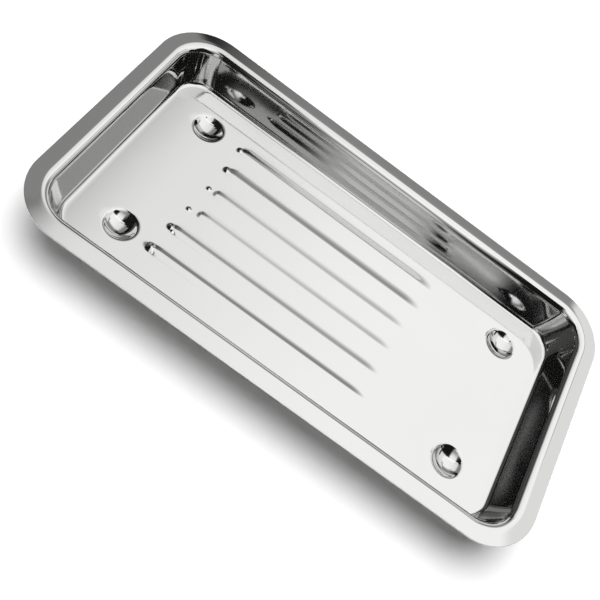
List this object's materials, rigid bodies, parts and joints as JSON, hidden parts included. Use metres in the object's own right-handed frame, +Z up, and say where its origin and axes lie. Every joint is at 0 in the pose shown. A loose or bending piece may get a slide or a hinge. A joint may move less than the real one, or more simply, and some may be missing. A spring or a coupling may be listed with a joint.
{
  "type": "dental instrument tray",
  "caption": "Shallow rectangular tray of polished stainless sheet with a rounded rim, raised floor ribs for laying instruments across, and pressed dimple feet.",
  "frame": {"origin": "centre of the tray, level with the undersides of its feet", "axes": "+X along the tray, from the end that the ribs are nearer to towards the other; +Y to its rear long side; +Z up, out of the tray's mouth"},
  "size_m": [0.2032, 0.1142, 0.0184],
  "materials": {
    "polished_steel": "mirror-polished stainless steel"
  },
  "bodies": {
    "root": {"floor_panel": "polished_steel", "rib_1": "polished_steel", "rib_2": "polished_steel", "rib_3": "polished_steel", "rib_4": "polished_steel", "rib_5": "polished_steel", "rib_6": "polished_steel", "foot_rear_right": "polished_steel", "foot_rear_left": "polished_steel", "foot_front_left": "polished_steel", "foot_front_right": "polished_steel", "wall_right": "polished_steel", "wall_rear": "polished_steel", "wall_left": "polished_steel", "wall_front": "polished_steel", "rim_right": "polished_steel", "rim_rear": "polished_steel", "rim_left": "polished_steel", "rim_front": "polished_steel", "wall_corner_rear_right": "polished_steel", "wall_corner_rear_left": "polished_steel", "wall_corner_front_left": "polished_steel", "wall_corner_front_right": "polished_steel", "rim_corner_rear_right": "polished_steel", "rim_corner_rear_left": "polished_steel", "rim_corner_front_left": "polished_steel", "rim_corner_front_right": "polished_steel"}
  },
  "joints": []
}
